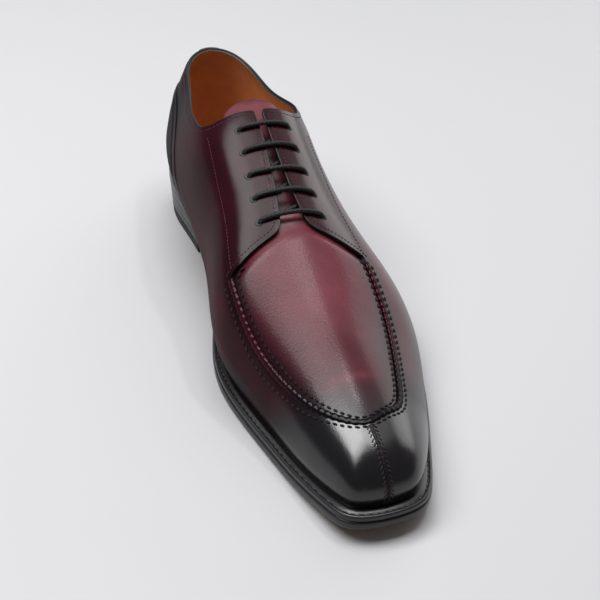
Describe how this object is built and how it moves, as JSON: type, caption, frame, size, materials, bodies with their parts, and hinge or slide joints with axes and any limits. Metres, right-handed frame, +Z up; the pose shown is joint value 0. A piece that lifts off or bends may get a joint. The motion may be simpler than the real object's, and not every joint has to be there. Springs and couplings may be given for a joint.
{
  "type": "split toe derby shoe",
  "caption": "Men's lace-up derby shoe with a stitched apron, a split toe seam, open lacing facings, a leather sole and a stacked heel, standing empty.",
  "frame": {"origin": "middle of the bounding box, on the floor that the sole stands on", "axes": "+Z up, -Y towards the toe, +X towards the outer side of the foot"},
  "size_m": [0.1072, 0.304, 0.1061],
  "materials": {
    "sole_leather": "dyed black, waxed edge",
    "heel_leather": "stacked leather, dyed black",
    "heel_rubber": "matt",
    "insole_leather": "natural, smooth",
    "calf": "burnished calf, glossy, darker at the toe and heel",
    "tongue_calf": "calf, satin",
    "waxed_cotton": "waxed round lace"
  },
  "bodies": {
    "root": {"outsole": "sole_leather", "welt": "sole_leather", "heel_stack": "heel_leather", "top_piece": "heel_rubber", "insole": "insole_leather", "upper": "calf", "tongue": "tongue_calf", "laces": "waxed_cotton"}
  },
  "joints": []
}
